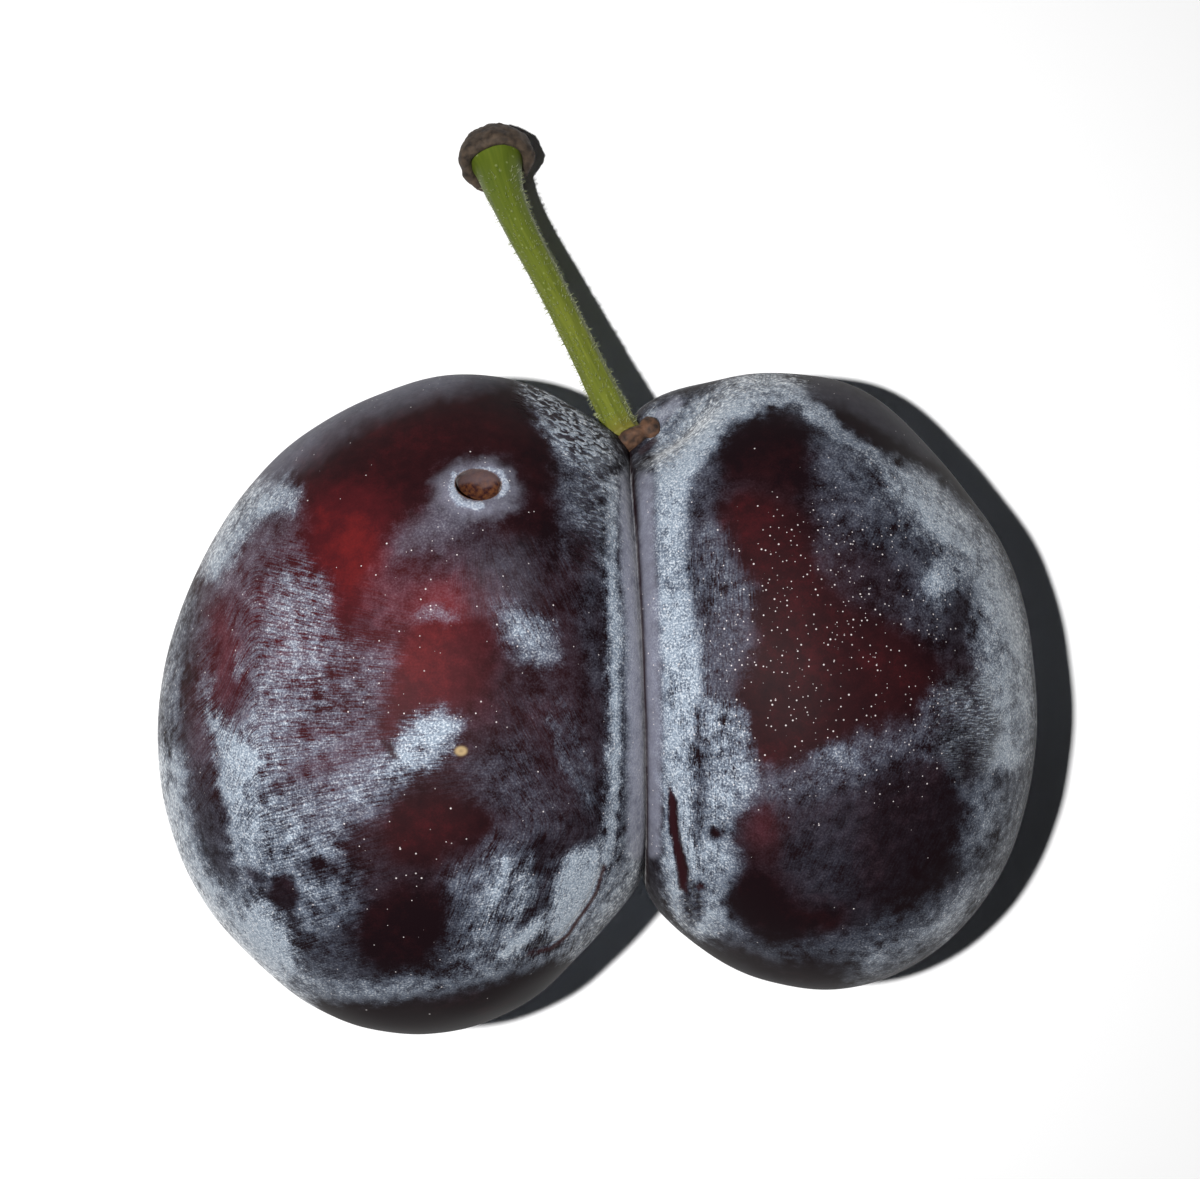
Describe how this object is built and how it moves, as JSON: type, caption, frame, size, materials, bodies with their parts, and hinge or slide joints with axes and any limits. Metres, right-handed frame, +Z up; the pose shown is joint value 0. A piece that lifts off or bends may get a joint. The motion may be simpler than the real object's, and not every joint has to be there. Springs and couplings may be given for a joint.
{
  "type": "twin plum",
  "caption": "Twin plum, a conjoined pair of oval dark fruits grown together along one side, with a short green stalk, lying on its side as picked.",
  "frame": {"origin": "on the surface that the fruit lies on, under the middle of the fruit and its stalk", "axes": "+Z up from the surface, +Y from the blossom ends towards the stalk, +X from the larger lobe to the smaller one"},
  "size_m": [0.0533, 0.0574, 0.0303],
  "materials": {
    "skin": "thin smooth fruit skin, purple black to crimson, under a granular blue grey wax bloom that is rubbed off in patches",
    "stalk_green": "fresh green stalk with pale dots and short fine hairs",
    "cork": "dull grey brown cork",
    "collar_brown": "dried reddish brown flower base"
  },
  "bodies": {
    "root": {"twin_fruit": "skin", "stalk": "stalk_green", "stalk_head": "cork", "stalk_collar": "collar_brown"}
  },
  "joints": []
}
